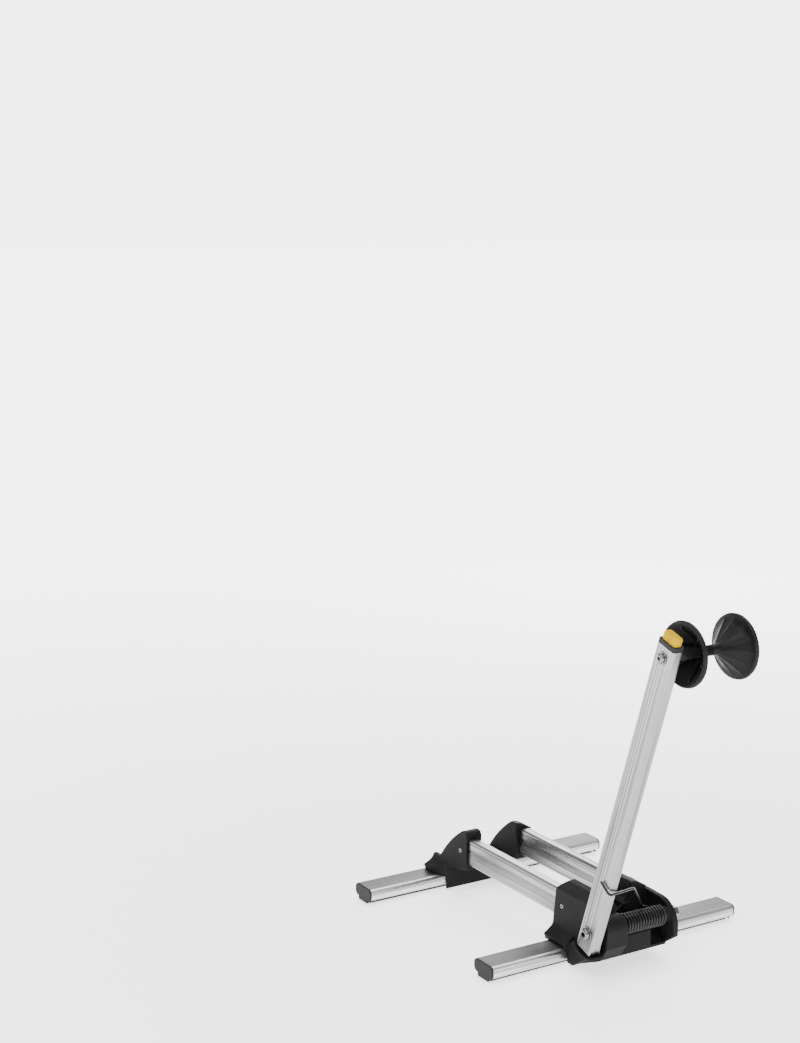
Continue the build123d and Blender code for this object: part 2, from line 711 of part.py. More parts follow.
with BuildPart() as torsion_spring:
    with BuildLine():
        coil = Helix(spring_pitch, coil_length, coil_radius, mode=Mode.PRIVATE)
        coil = axis_plane.location * coil
        add(coil)
    with BuildSketch(Plane(origin=coil @ 0, z_dir=coil % 0)):
        Circle(wire_radius)
    sweep(path=coil, is_frenet=True)
    with BuildLine():
        hook = FilletPolyline(hook_points, radius=hook_radii)
    with BuildSketch(Plane(origin=hook @ 0, z_dir=hook % 0)):
        Circle(wire_radius)
    sweep(path=hook, transition=Transition.ROUND)
    with BuildSketch(Plane.XY.offset(pivot_z)):
        with Locations((coil_left_x, pivot_y + coil_radius)):
            Circle(wire_radius)
    extrude(amount=-22.0)
finish(torsion_spring.part, "torsion_spring")

# ---------------------------------------------------------------- arm
insert_gap = 0.1
core_width = arm_width - 2 * arm_wall
core_depth = arm_depth - 2 * arm_wall
groove_pitch = 4.3

with BuildPart() as arm_tube:
    with BuildSketch(on_arm(-arm_below)):
        RectangleRounded(arm_width, arm_depth, arm_corner)
    extrude(amount=arm_below + arm_above)
    with BuildSketch(on_arm(-arm_below)):
        RectangleRounded(core_width, core_depth, arm_corner - arm_wall)
    extrude(amount=arm_below + arm_above, mode=Mode.SUBTRACT)
    # Fine grooves along both broad faces.
    with BuildSketch(on_arm(-arm_below)):
        for groove in (-groove_pitch, 0.0, groove_pitch):
            with Locations((-arm_width / 2, groove), (arm_width / 2, groove)):
                Rectangle(0.8, 0.7)
    extrude(amount=arm_below + arm_above, mode=Mode.SUBTRACT)
    with BuildSketch(arm_side(arm_left_x - 1)):
        Circle(pivot_bolt_radius + 0.4)
        with Locations((0, arm_reach)):
            Circle(spool_bolt_radius + loose_gap)
    extrude(amount=arm_width + 2, mode=Mode.SUBTRACT)
finish(arm_tube.part, "arm_tube")

with BuildPart() as arm_pivot_insert:
    with BuildSketch(on_arm(-arm_below + 1.5)):
        RectangleRounded(core_width, core_depth, arm_corner - arm_wall)
    extrude(amount=arm_below + 14)
    with BuildSketch(arm_side(arm_left_x)):
        Circle(pivot_bolt_radius + running_gap)
    extrude(amount=arm_width, mode=Mode.SUBTRACT)
finish(arm_pivot_insert.part, "arm_pivot_insert")

cap_rim = 5.5
cap_recess = 3.0
marker_rise = 9.0
marker_corner = 3.5
marker_width = 11.0
marker_depth = 22.5

with BuildPart() as arm_top_cap:
    with BuildSketch(on_arm(arm_above)):
        RectangleRounded(arm_width, arm_depth, arm_corner)
    extrude(amount=cap_rim)
    fillet(arm_top_cap.faces().sort_by(Axis.Z)[-1].edges(), radius=1.2)
    with BuildSketch(on_arm(arm_above)):
        RectangleRounded(core_width - insert_gap, core_depth - insert_gap, arm_corner - arm_wall)
    extrude(amount=-32.0)
    with BuildSketch(arm_side(arm_left_x)):
        with Locations((0, arm_reach)):
            Circle(spool_bolt_radius + loose_gap)
    extrude(amount=arm_width, mode=Mode.SUBTRACT)
    with BuildSketch(on_arm(arm_above + cap_rim - cap_recess)):
        RectangleRounded(marker_width, marker_depth, marker_corner)
    extrude(amount=cap_rim, mode=Mode.SUBTRACT)
finish(arm_top_cap.part, "arm_top_cap")

with BuildPart() as cap_marker:
    with BuildSketch(on_arm(arm_above + cap_rim - cap_recess)):
        RectangleRounded(marker_width, marker_depth, marker_corner)
    extrude(amount=cap_recess + marker_rise)
    fillet(cap_marker.faces().sort_by(Axis.Z)[-1].edges(), radius=2.4)
    with BuildSketch(arm_side(arm_x - marker_width / 2 - 1)):
        with Locations((0.5, arm_above + cap_rim + 1.6)):
            RectangleRounded(3.0, 4.2, 1.0)
    extrude(amount=2.2, mode=Mode.SUBTRACT)
finish(cap_marker.part, "cap_marker")

# ---------------------------------------------------------------- spool
spool_washer_thickness = 1.2
spool_washer_x = arm_left_x - spool_washer_thickness
spool_head_height = 3.4
hub_half = 11.2
sleeve_half = 11.6
sleeve_radius = 4.5
spool_nut_height = 5.6

with BuildPart() as spool_bolt:
    with BuildSketch(across(spool_washer_x)):
        with Locations((spool_y, spool_z)):
            Circle(spool_bolt_radius)
    extrude(amount=slot_x + sleeve_half + spool_nut_height + 2.5 - spool_washer_x)
    with BuildSketch(across(spool_washer_x)):
        with Locations((spool_y, spool_z)):
            Circle(5.5)
    extrude(amount=-spool_head_height)
    fillet(rims(spool_bolt, 5.5)[0], radius=2.4)
    with BuildSketch(across(spool_washer_x - spool_head_height)):
        with Locations((spool_y, spool_z)):
            RegularPolygon(2.3, 6)
    extrude(amount=2.0, mode=Mode.SUBTRACT)
finish(spool_bolt.part, "spool_bolt")

with BuildPart() as spool_washer:
    with BuildSketch(across(spool_washer_x)):
        with Locations((spool_y, spool_z)):
            Circle(7.3)
            Circle(spool_bolt_radius + loose_gap, mode=Mode.SUBTRACT)
    extrude(amount=spool_washer_thickness)
    fillet(rims(spool_washer, 7.3)[0], radius=0.4)
finish(spool_washer.part, "spool_washer")

with BuildPart() as spool_spacer:
    with BuildSketch(across(arm_right_x)):
        with Locations((spool_y, spool_z)):
            Circle(6.0)
            Circle(spool_bolt_radius + loose_gap, mode=Mode.SUBTRACT)
    extrude(amount=slot_x - sleeve_half - arm_right_x)
finish(spool_spacer.part, "spool_spacer")

with BuildPart() as spool_sleeve:
    with BuildSketch(across(slot_x - sleeve_half)):
        with Locations((spool_y, spool_z)):
            Circle(sleeve_radius)
            Circle(spool_bolt_radius + loose_gap, mode=Mode.SUBTRACT)
    extrude(amount=2 * sleeve_half)
finish(spool_sleeve.part, "spool_sleeve")

with BuildPart() as spool_nut:
    with BuildSketch(across(slot_x + sleeve_half)):
        with Locations((spool_y, spool_z)):
            RegularPolygon(5.8, 6)
            Circle(spool_bolt_radius, mode=Mode.SUBTRACT)
    extrude(amount=spool_nut_height)
finish(spool_nut.part, "spool_nut")

rim_thickness = 3.4
cone_wall = 2.0
rib_count = 6

for side, direction in (("left", -1), ("right", 1)):
    with BuildPart() as cone:
        with BuildSketch(across(slot_x)):
            with Locations((spool_y, spool_z)):
                Circle(cone_neck_radius)
        extrude(amount=direction * (cone_neck_half + 1.5))
        with BuildSketch(across(slot_x + direction * cone_neck_half)):
            with Locations((spool_y, spool_z)):
                RegularPolygon(cone_neck_radius + 0.7, cone_facets)
        with BuildSketch(across(slot_x + direction * (cone_half - rim_thickness))):
            with Locations((spool_y, spool_z)):
                RegularPolygon(cone_rim_radius - 1.8, cone_facets)
        loft()
        with BuildSketch(across(slot_x + direction * (cone_half - rim_thickness))):
            with Locations((spool_y, spool_z)):
                Circle(cone_rim_radius)
        extrude(amount=direction * rim_thickness)
        fillet(rims(cone, cone_rim_radius), radius=1.5)
        # The hollow inside, and short ribs in it from the hub out along the cone.
        with BuildSketch(across(slot_x + direction * hub_half)):
            with Locations((spool_y, spool_z)):
                RegularPolygon(cone_neck_radius + 1.4, cone_facets)
        with BuildSketch(across(slot_x + direction * (cone_half + 1))):
            with Locations((spool_y, spool_z)):
                RegularPolygon(cone_rim_radius - 1.9, cone_facets)
        loft(mode=Mode.SUBTRACT)
        profile_plane = Plane(origin=(slot_x, spool_y, spool_z), x_dir=(direction, 0, 0), z_dir=(0, -1, 0))
        with BuildSketch(profile_plane):
            with BuildLine():
                Polyline(
                    (hub_half - 0.5, cone_neck_radius + 1.2),
                    (hub_half + 7.0, cone_neck_radius + 1.2),
                    (cone_half - 4.0, cone_rim_radius - 9.5),
                    (cone_half - 4.0, cone_rim_radius - 4.0),
                    close=True,
                )
            make_face()
        rib = extrude(amount=0.6, both=True, mode=Mode.PRIVATE)
        for index in range(rib_count):
            add(rib.rotate(Axis((slot_x, spool_y, spool_z), (1, 0, 0)), index * 360 / rib_count + 15))
        with BuildSketch(across(slot_x)):
            with Locations((spool_y, spool_z)):
                Circle(sleeve_radius + running_gap)
        extrude(amount=direction * 20, mode=Mode.SUBTRACT)
    finish(cone.part, side + "_cone")
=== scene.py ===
import json
from math import asin, cos, pi, radians, sin, sqrt, tan

import bmesh
import bpy
from mathutils import Matrix, Vector


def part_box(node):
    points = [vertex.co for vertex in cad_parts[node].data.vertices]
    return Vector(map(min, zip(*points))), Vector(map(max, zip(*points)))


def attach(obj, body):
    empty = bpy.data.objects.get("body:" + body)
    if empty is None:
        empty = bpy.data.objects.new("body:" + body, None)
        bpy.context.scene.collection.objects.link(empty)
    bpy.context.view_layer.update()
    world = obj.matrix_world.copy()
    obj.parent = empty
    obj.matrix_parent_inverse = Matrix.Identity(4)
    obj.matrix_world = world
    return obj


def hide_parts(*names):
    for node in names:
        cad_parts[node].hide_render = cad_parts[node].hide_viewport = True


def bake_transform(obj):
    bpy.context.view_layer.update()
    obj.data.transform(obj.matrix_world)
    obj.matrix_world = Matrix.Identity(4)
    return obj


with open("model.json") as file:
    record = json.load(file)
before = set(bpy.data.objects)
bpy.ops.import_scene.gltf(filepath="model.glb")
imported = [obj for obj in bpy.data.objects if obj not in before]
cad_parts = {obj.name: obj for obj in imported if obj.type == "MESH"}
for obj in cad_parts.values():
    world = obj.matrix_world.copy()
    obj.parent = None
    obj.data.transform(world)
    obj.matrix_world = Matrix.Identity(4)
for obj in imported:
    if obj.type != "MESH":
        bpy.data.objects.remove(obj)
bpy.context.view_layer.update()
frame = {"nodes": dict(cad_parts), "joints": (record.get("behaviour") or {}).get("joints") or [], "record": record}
nodes = frame["nodes"]
joints = {joint["name"]: joint for joint in frame["joints"]}
pivot = Vector(joints["arm_pivot"]["pos_m"])
spool_centre = Vector(joints["spool_spin"]["pos_m"])
reach = spool_centre - pivot
arm_angle = asin(-reach.y / sqrt(reach.y ** 2 + reach.z ** 2))


# ---------------------------------------------------------------- materials
def material(name):
    """An empty node material with its Principled shader."""
    made = bpy.data.materials.new(name)
    made.use_nodes = True
    shader = made.node_tree.nodes["Principled BSDF"]
    return made, made.node_tree, shader


def set_values(shader, values):
    """Constant values on the shader's own sockets."""
    for socket, value in values.items():
        shader.inputs[socket].default_value = value


def noise(tree, vector, scale, detail=3.0, roughness=0.5):
    """A noise texture on some coordinates."""
    node = tree.nodes.new("ShaderNodeTexNoise")
    node.inputs["Scale"].default_value = scale
    node.inputs["Detail"].default_value = detail
    node.inputs["Roughness"].default_value = roughness
    tree.links.new(vector, node.inputs["Vector"])
    return node.outputs["Fac"]


def ramp(tree, factor, stops):
    """A colour ramp; each stop is a position and a colour."""
    node = tree.nodes.new("ShaderNodeValToRGB")
    elements = node.color_ramp.elements
    while len(elements) < len(stops):
        elements.new(0.5)
    for element, (position, colour) in zip(elements, stops):
        element.position = position
        element.color = (*colour, 1.0)
    tree.links.new(factor, node.inputs["Fac"])
    return node.outputs["Color"]


def spread(tree, factor, low, high, source_low=0.3, source_high=0.7):
    """A factor spread over a range of values."""
    node = tree.nodes.new("ShaderNodeMapRange")
    node.inputs["From Min"].default_value = source_low
    node.inputs["From Max"].default_value = source_high
    node.inputs["To Min"].default_value = low
    node.inputs["To Max"].default_value = high
    tree.links.new(factor, node.inputs["Value"])
    return node.outputs["Result"]


def math_node(tree, operation, first, second):
    """One Math node on two inputs, each a socket or a number."""
    node = tree.nodes.new("ShaderNodeMath")
    node.operation = operation
    for socket, value in zip(node.inputs, (first, second)):
        if isinstance(value, (int, float)):
            socket.default_value = value
        else:
            tree.links.new(value, socket)
    return node.outputs["Value"]


def mixed(tree, factor, first, second):
    """Two colours mixed by a factor; each colour is a socket or a tuple."""
    node = tree.nodes.new("ShaderNodeMix")
    node.data_type = "RGBA"
    tree.links.new(factor, node.inputs["Factor"])
    for name, value in (("A", first), ("B", second)):
        socket = [item for item in node.inputs if item.name == name and item.type == "RGBA"][0]
        if isinstance(value, tuple):
            socket.default_value = (*value, 1.0)
        else:
            tree.links.new(value, socket)
    return [item for item in node.outputs if item.type == "RGBA"][0]


def bump(tree, shader, height, strength, distance, edge_radius=0.0):
    """Bump on the shader's normal, over softened edges where an edge radius is given."""
    node = tree.nodes.new("ShaderNodeBump")
    node.inputs["Strength"].default_value = strength
    node.inputs["Distance"].default_value = distance
    tree.links.new(height, node.inputs["Height"])
    if edge_radius > 0:
        bevel = tree.nodes.new("ShaderNodeBevel")
        bevel.samples = 6
        bevel.inputs["Radius"].default_value = edge_radius
        tree.links.new(bevel.outputs["Normal"], node.inputs["Normal"])
    tree.links.new(node.outputs["Normal"], shader.inputs["Normal"])


def object_coordinates(tree, rotation=(0, 0, 0), scale=(1, 1, 1)):
    """Coordinates in the object's own frame, turned so that one axis runs along the piece, then scaled."""
    source = tree.nodes.new("ShaderNodeTexCoord")
    turned = tree.nodes.new("ShaderNodeMapping")
    turned.inputs["Rotation"].default_value = rotation
    tree.links.new(source.outputs["Object"], turned.inputs["Vector"])
    scaled = tree.nodes.new("ShaderNodeMapping")
    scaled.inputs["Scale"].default_value = scale
    tree.links.new(turned.outputs["Vector"], scaled.inputs["Vector"])
    return scaled.outputs["Vector"]


def pointiness(tree):
    """How sharp the surface is, from the mesh."""
    return tree.nodes.new("ShaderNodeNewGeometry").outputs["Pointiness"]


def extruded_aluminium(
    name, along, colour, streak, tilt=0.0, top_shade_colour=None, groove_axis=2, groove_places=()
):
    """Satin anodised extrusion: fine drawn lines and soft wider bands along one axis.

    top_shade_colour is a darker colour painted on level faces on top where one is given: painted shade, with their
    roughness raised too. The drawn grooves are geometry; groove_places says where painted shade darkens them,
    across the turned frame."""
    made, tree, shader = material(name)
    fine = [900.0] * 3
    wide = [150.0] * 3
    cloud = [22.0] * 3
    fine[along] = 2.5
    wide[along] = 3.0
    cloud[along] = 9.0
    rotation = (tilt, 0, 0)
    lines = noise(tree, object_coordinates(tree, rotation, fine), 1.0, 4.0, 0.6)
    bands = noise(tree, object_coordinates(tree, rotation, wide), 1.0, 3.0, 0.6)
    clouds = noise(tree, object_coordinates(tree, rotation, cloud), 1.0, 3.0, 0.5)
    dark = tuple(value * (1.0 - 0.42 * streak) for value in colour)
    light = tuple(min(1.0, value * (1.0 + 0.16 * streak)) for value in colour)
    base = ramp(tree, bands, [(0.34, dark), (0.48, colour), (0.66, light)])
    tinted = mixed(tree, spread(tree, lines, 0.0, 0.34 * streak + 0.05), base, dark)
    rough = math_node(tree, "ADD", spread(tree, lines, -0.05, 0.07), spread(tree, clouds, 0.22, 0.34))
    # Painted shade: level faces on top take a darker, streaked colour, and their roughness is raised as well.
    if top_shade_colour:
        split = tree.nodes.new("ShaderNodeSeparateXYZ")
        tree.links.new(tree.nodes.new("ShaderNodeNewGeometry").outputs["Normal"], split.inputs["Vector"])
        top_shade_mask = spread(tree, split.outputs["Z"], 0.0, 1.0, 0.93, 0.995)
        streaked_top_shade = tuple(value * 0.8 for value in top_shade_colour)
        painted_top_shade = mixed(tree, spread(tree, lines, 0.0, 0.35), top_shade_colour, streaked_top_shade)
        tinted = mixed(tree, top_shade_mask, tinted, painted_top_shade)
        rough = math_node(tree, "ADD", rough, math_node(tree, "MULTIPLY", top_shade_mask, 0.2))
    parted = tree.nodes.new("ShaderNodeSeparateXYZ")
    tree.links.new(object_coordinates(tree, rotation), parted.inputs["Vector"])
    # Painted shade: a thin band along each groove is darkened almost to black.
    groove_shade = tuple(value * 0.1 for value in colour)
    for place in groove_places:
        offset = math_node(tree, "SUBTRACT", parted.outputs[groove_axis], place)
        gap = math_node(tree, "ABSOLUTE", offset, 0.0)
        tinted = mixed(tree, spread(tree, gap, 0.8, 0.0, 0.0002, 0.00055), tinted, groove_shade)
    tree.links.new(tinted, shader.inputs["Base Color"])
    tree.links.new(rough, shader.inputs["Roughness"])
    set_values(shader, {"Metallic": 1.0, "Anisotropic": 0.35})
    height = math_node(tree, "ADD", lines, math_node(tree, "MULTIPLY", bands, 0.6))
    bump(tree, shader, height, 0.35, 0.00003 + 0.00003 * streak, 0.0005)
    return made


def moulded_plastic(name, colour, grain=1900.0, gloss=0.46, edge_highlight=1.0, depth=0.00005, edge_radius=0.0):
    """Moulded plastic with a fine spark-eroded grain, uneven gloss and a painted highlight that lightens its sharp
    edges.
    """
    made, tree, shader = material(name)
    vector = object_coordinates(tree)
    grains = noise(tree, vector, grain, 2.0, 0.7)
    patches = noise(tree, vector, 46.0, 4.0, 0.55)
    specks = noise(tree, vector, 620.0, 2.0, 0.5)
    dark = tuple(value * 0.8 for value in colour)
    light = tuple(value * 1.25 + 0.002 for value in colour)
    highlight_colour = tuple(value * 2.3 + 0.008 for value in colour)
    base = ramp(tree, patches, [(0.3, dark), (0.5, colour), (0.72, light)])
    dusted = mixed(tree, spread(tree, specks, 0.0, 0.4, 0.62, 0.8), base, light)
    # Painted highlight: sharp edges are lightened towards a brighter colour.
    edge_highlight_mask = spread(tree, pointiness(tree), 0.0, 0.62 * edge_highlight, 0.505, 0.60)
    tree.links.new(mixed(tree, edge_highlight_mask, dusted, highlight_colour), shader.inputs["Base Color"])
    uneven = spread(tree, patches, gloss - 0.05, gloss + 0.07)
    rough = math_node(tree, "ADD", uneven, spread(tree, grains, -0.02, 0.03))
    tree.links.new(rough, shader.inputs["Roughness"])
    set_values(shader, {"Specular IOR Level": 0.1})
    bump(tree, shader, grains, 0.45, depth, edge_radius)
    return made


def yellow_plastic(name):
    """Yellow moulded plastic with a satin skin."""
    made, tree, shader = material(name)
    vector = object_coordinates(tree)
    patches = noise(tree, vector, 90.0, 3.0, 0.5)
    grains = noise(tree, vector, 1500.0, 2.0, 0.6)
    tones = [(0.3, (0.38, 0.235, 0.0)), (0.55, (0.43, 0.27, 0.0)), (0.75, (0.47, 0.30, 0.0005))]
    base = ramp(tree, patches, tones)
    tree.links.new(base, shader.inputs["Base Color"])
    tree.links.new(spread(tree, grains, 0.4, 0.5), shader.inputs["Roughness"])
    set_values(shader, {"Specular IOR Level": 0.02})
    bump(tree, shader, grains, 0.25, 0.00003, 0.0004)
    return made


def rubber(name):
    """Dull black rubber with a chalky bloom."""
    made, tree, shader = material(name)
    vector = object_coordinates(tree)
    bloom = noise(tree, vector, 70.0, 5.0, 0.6)
    pores = noise(tree, vector, 1300.0, 2.0, 0.6)
    base = ramp(tree, bloom, [(0.3, (0.018, 0.018, 0.019)), (0.7, (0.045, 0.045, 0.046))])
    tree.links.new(base, shader.inputs["Base Color"])
    tree.links.new(spread(tree, pores, 0.72, 0.88), shader.inputs["Roughness"])
    bump(tree, shader, pores, 0.5, 0.00008)
    return made


def coated_wire(name):
    """Black coated spring wire: a soft sheen with faint drawing marks."""
    made, tree, shader = material(name)
    vector = object_coordinates(tree)
    marks = noise(tree, vector, 520.0, 4.0, 0.6)
    base = ramp(tree, marks, [(0.3, (0.003, 0.003, 0.0031)), (0.7, (0.008, 0.008, 0.0083))])
    tree.links.new(base, shader.inputs["Base Color"])
    tree.links.new(spread(tree, marks, 0.24, 0.36), shader.inputs["Roughness"])
    set_values(shader, {"Specular IOR Level": 0.3})
    bump(tree, shader, marks, 0.2, 0.00004)
    return made


def plated_steel(name, colour, low, high):
    """Bright plated steel with fine turning marks, slight stains and painted shade in its hollows."""
    made, tree, shader = material(name)
    vector = object_coordinates(tree)
    stains = noise(tree, vector, 160.0, 4.0, 0.6)
    marks = noise(tree, vector, 2600.0, 2.0, 0.6)
    dark = tuple(value * 0.72 for value in colour)
    base = ramp(tree, stains, [(0.32, dark), (0.6, colour)])
    # Painted shade: hollows such as the hex socket are darkened almost to black.
    recess_shade_mask = spread(tree, pointiness(tree), 1.0, 0.0, 0.40, 0.49)
    recess_shaded = mixed(tree, recess_shade_mask, base, tuple(value * 0.06 for value in colour))
    tree.links.new(recess_shaded, shader.inputs["Base Color"])
    tree.links.new(spread(tree, stains, high, low), shader.inputs["Roughness"])
    set_values(shader, {"Metallic": 1.0})
    bump(tree, shader, marks, 0.2, 0.00002, 0.0003)
    return made


# Feet: satin extrusion, with painted shade darkening their level tops.
foot_metal = extruded_aluminium("foot_metal", 0, (0.60, 0.60, 0.605), 0.8, top_shade_colour=(0.17, 0.17, 0.173))

# Where the grooves run, and where painted shade darkens them: heights up a rail, and places across the arm's broad
# faces.
rail_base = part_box("left_rail")[0].z
rail_grooves = [rail_base + height for height in (0.0128, 0.0152, 0.0176, 0.0200, 0.0295)]
rail_metal = extruded_aluminium("rail_metal", 1, (0.42, 0.42, 0.425), 1.9, groove_places=rail_grooves)
arm_middle = pivot.y * cos(arm_angle) + pivot.z * sin(arm_angle)
arm_groove_pitch = 0.0043
arm_grooves = [arm_middle + shift for shift in (-arm_groove_pitch, 0.0, arm_groove_pitch)]
arm_metal = extruded_aluminium(
    "arm_metal", 2, (0.31, 0.31, 0.314), 1.0, tilt=-arm_angle, groove_axis=1, groove_places=arm_grooves
)
bracket_black = moulded_plastic("bracket_black", (0.0065, 0.0065, 0.0067), gloss=0.6)
cone_black = moulded_plastic(
    "cone_black", (0.005, 0.005, 0.0052), grain=2400.0, gloss=0.42, depth=0.00003
)
cap_grey = moulded_plastic(
    "cap_grey", (0.018, 0.018, 0.0185), gloss=0.5, edge_highlight=0.7, edge_radius=0.0006
)
bearing_grey = moulded_plastic(
    "bearing_grey", (0.006, 0.006, 0.006), gloss=0.35, edge_highlight=0.3, edge_radius=0.0004
)
marker_yellow = yellow_plastic("marker_yellow")
pad_black = rubber("pad_black")
spring_black = coated_wire("spring_black")
bolt_steel = plated_steel("bolt_steel", (0.20, 0.20, 0.204), 0.14, 0.3)
turned_steel = plated_steel("turned_steel", (0.36, 0.36, 0.366), 0.28, 0.42)

finishes = {
    "foot_aluminium": foot_metal,
    "rail_aluminium": rail_metal,
    "arm_aluminium": arm_metal,
    "bracket_plastic": bracket_black,
    "cone_plastic": cone_black,
    "cap_plastic": cap_grey,
    "pad_rubber": pad_black,
    "yellow_plastic": marker_yellow,
    "bearing_plastic": bearing_grey,
    "black_spring_wire": spring_black,
    "zinc_steel": bolt_steel,
    "turned_steel": turned_steel,
}
slot_of = {part["node"]: part["material_slot"] for part in frame["record"]["subparts"]}
for node_name, node in nodes.items():
    node.data.materials.clear()
    node.data.materials.append(finishes[slot_of[node_name]])


# ---------------------------------------------------------------- pieces
def piece(name, mesh, body, slot, *stands_for):
    """A new object in its slot's finish that rides on a body, if one is given, and stands for CAD nodes."""
    made = bpy.data.objects.new(name, mesh)
    bpy.context.scene.collection.objects.link(made)
    mesh.materials.clear()
    mesh.materials.append(finishes[slot])
    if body:
        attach(made, body)
    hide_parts(*stands_for)
    return made


def mesh_from(shape, name):
    """A smooth-shaded mesh from a bmesh."""
    bmesh.ops.recalc_face_normals(shape, faces=shape.faces)
    mesh = bpy.data.meshes.new(name)
    shape.to_mesh(mesh)
    shape.free()
    for polygon in mesh.polygons:
        polygon.use_smooth = True
    return mesh


def add_tube(shape, path, radius, sides=12):
    """A round bar along a path, closed at both ends, with its end edges rounded."""
    points = [Vector(point) for point in path]
    headings = []
    for index in range(len(points)):
        before = points[max(index - 1, 0)]
        after = points[min(index + 1, len(points) - 1)]
        headings.append((after - before).normalized())
    side = headings[0].orthogonal().normalized()
    stations = [(points[0] - headings[0] * radius * 0.35, headings[0], radius * 0.6)]
    stations += [(point, heading, radius) for point, heading in zip(points, headings)]
    stations.append((points[-1] + headings[-1] * radius * 0.35, headings[-1], radius * 0.6))
    rings = []
    for centre, heading, size in stations:
        side = (side - heading * side.dot(heading)).normalized()
        up = heading.cross(side)
        ring = []
        for step in range(sides):
            angle = 2 * pi * step / sides
            ring.append(shape.verts.new(centre + (side * cos(angle) + up * sin(angle)) * size))
        rings.append(ring)
    for first, second in zip(rings, rings[1:]):
        for step in range(sides):
            following = (step + 1) % sides
            shape.faces.new((first[step], first[following], second[following], second[step]))
    shape.faces.new(list(reversed(rings[0])))
    shape.faces.new(rings[-1])


def add_lathe(shape, centre, profile, steps, ripple=None):
    """A closed ring of revolution about a line along X; ripple scales a radius by profile index and angle."""
    rings = []
    for step in range(steps):
        angle = 2 * pi * step / steps
        ring = []
        for index, (along, radius) in enumerate(profile):
            size = radius if ripple is None else radius * ripple(index, angle)
            ring.append(shape.verts.new(centre + Vector((along, size * cos(angle), size * sin(angle)))))
        rings.append(ring)
    for first, second in zip(rings, rings[1:] + rings[:1]):
        for index in range(len(profile)):
            following = (index + 1) % len(profile)
            shape.faces.new((first[index], first[following], second[following], second[index]))


def add_plate(shape, outline, offset):
    """A flat closed plate: an outline of points, thickened by an offset."""
    lower = [shape.verts.new(Vector(point) - offset / 2) for point in outline]
    upper = [shape.verts.new(Vector(point) + offset / 2) for point in outline]
    shape.faces.new(list(reversed(lower)))
    shape.faces.new(upper)
    for index in range(len(outline)):
        following = (index + 1) % len(outline)
        shape.faces.new((lower[index], lower[following], upper[following], upper[index]))


def moulding(name, shape, voxel, smoothing, keep):
    """One moulded skin over overlapping closed shells, with its edges rounded as a mould leaves them."""
    rough = bpy.data.meshes.new(name + "_rough")
    shape.to_mesh(rough)
    shape.free()
    holder = bpy.data.objects.new(name + "_rough", rough)
    bpy.context.scene.collection.objects.link(holder)
    remesh = holder.modifiers.new("skin", "REMESH")
    remesh.mode = "VOXEL"
    remesh.voxel_size = voxel
    remesh.use_smooth_shade = True
    relax = holder.modifiers.new("relax", "SMOOTH")
    relax.factor = 0.5
    relax.iterations = smoothing
    thin = holder.modifiers.new("thin", "DECIMATE")
    thin.ratio = keep
    bpy.context.view_layer.update()
    evaluated = holder.evaluated_get(bpy.context.evaluated_depsgraph_get())
    mesh = bpy.data.meshes.new_from_object(evaluated)
    mesh.name = name
    bpy.data.objects.remove(holder)
    bpy.data.meshes.remove(rough)
    for polygon in mesh.polygons:
        polygon.use_smooth = True
    return mesh


def cad_shape(node_name):
    """A CAD node's mesh as a welded bmesh."""
    shape = bmesh.new()
    shape.from_mesh(nodes[node_name].data)
    bmesh.ops.remove_doubles(shape, verts=shape.verts, dist=1e-6)
    return shape


def arc_path(corners, radii, steps=7):
    """A path through corners, each inner corner turned on a radius."""
    points = [Vector(corners[0])]
    for index, radius in enumerate(radii, start=1):
        before = Vector(corners[index - 1])
        corner = Vector(corners[index])
        after = Vector(corners[index + 1])
        inward = (before - corner).normalized()
        outward = (after - corner).normalized()
        half = inward.angle(outward) / 2
        setback = radius / tan(half)
        middle = corner + (inward + outward).normalized() * radius / sin(half)
        start = corner + inward * setback - middle
        end = corner + outward * setback - middle
        for step in range(steps + 1):
            between = start * (1 - step / steps) + end * (step / steps)
            points.append(middle + between.normalized() * radius)
    points.append(Vector(corners[-1]))
    return points


# Brackets: the CAD shapes with moulded edges, and the thin rim round the rear trough.
slot_x = spool_centre.x
bracket_voxel = 0.00065

front_shape = cad_shape("front_bracket")
front_mesh = moulding("front_moulding", front_shape, bracket_voxel, 4, 0.3)
piece("front_moulding", front_mesh, "base", "bracket_plastic", "front_bracket")

rear_shape = cad_shape("rear_bracket")
rim_y = -0.0605
rim_bead_radius = 0.0016
rim_path = [
    (slot_x - 0.015, rim_y, 0.0525),
    (slot_x + 0.000, rim_y, 0.0530),
    (slot_x + 0.012, rim_y, 0.0560),
    (slot_x + 0.019, rim_y, 0.0625),
    (slot_x + 0.0235, rim_y, 0.0700),
    (slot_x + 0.0265, rim_y, 0.0780),
    (slot_x + 0.0280, rim_y, 0.0860),
]
add_tube(rear_shape, rim_path, rim_bead_radius, 10)
rear_mesh = moulding("rear_moulding", rear_shape, bracket_voxel, 4, 0.3)
piece("rear_moulding", rear_mesh, "base", "bracket_plastic", "rear_bracket")

# Top cap and its yellow insert, with moulded edges.
cap_mesh = moulding("top_cap", cad_shape("arm_top_cap"), 0.00032, 3, 0.5)
piece("top_cap", cap_mesh, "arm", "cap_plastic", "arm_top_cap")
marker_mesh = moulding("yellow_insert", cad_shape("cap_marker"), 0.00028, 3, 0.5)
piece("yellow_insert", marker_mesh, "arm", "yellow_plastic", "cap_marker")

# Foot end caps, with moulded edges.
for end in ("front_left", "front_right", "rear_left", "rear_right"):
    end_mesh = moulding(end + "_end", cad_shape(end + "_foot_cap"), 0.0004, 3, 0.4)
    piece(end + "_end", end_mesh, "base", "cap_plastic", end + "_foot_cap")

# Spring: a coil between the bracket and the arm, and a long leg that rides on the arm and hooks round it.
leg_wire_radius = 0.0015
coil_wire_radius = 0.0013
coil_radius = 0.011
turns = 14
coil_pitch = 0.004
turn_steps = 28
coil_left = slot_x - 0.0146
coil_right = coil_left + turns * coil_pitch
arm_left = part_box("arm_tube")[0].x
hook_x = arm_left - 0.0023

